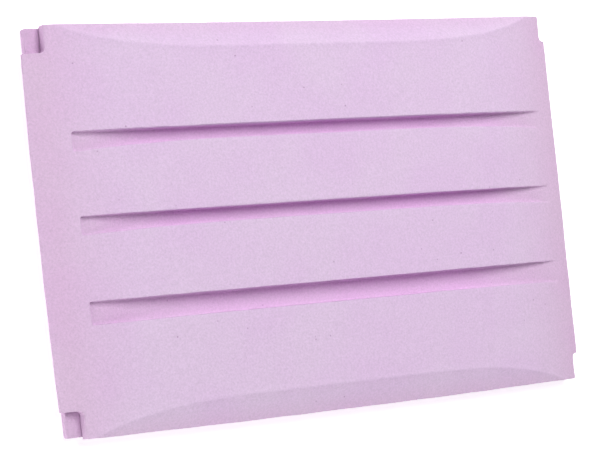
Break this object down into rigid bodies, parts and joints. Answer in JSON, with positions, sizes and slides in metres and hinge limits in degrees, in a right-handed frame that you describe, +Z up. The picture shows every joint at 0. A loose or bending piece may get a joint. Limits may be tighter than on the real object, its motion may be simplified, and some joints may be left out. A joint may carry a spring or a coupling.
{
  "type": "kneeling pad",
  "caption": "Rectangular soft foam kneeling pad with a crowned face, long grip slots, bevelled long sides and square notched corners, laid flat to kneel on.",
  "frame": {"origin": "middle of the flat underside", "axes": "+X along the length, +Y across the width, +Z up from the underside through the crowned face"},
  "size_m": [0.44, 0.28, 0.026],
  "materials": {
    "base_foam": "matte open-cell foam, a little deeper pink where it lies in shade",
    "core_foam": "matte open-cell foam with fine even cells",
    "top_foam": "matte open-cell foam with fine even cells and scattered pinholes"
  },
  "bodies": {
    "root": {"base_sheet": "base_foam", "core_slab": "core_foam", "crowned_top": "top_foam"}
  },
  "joints": []
}
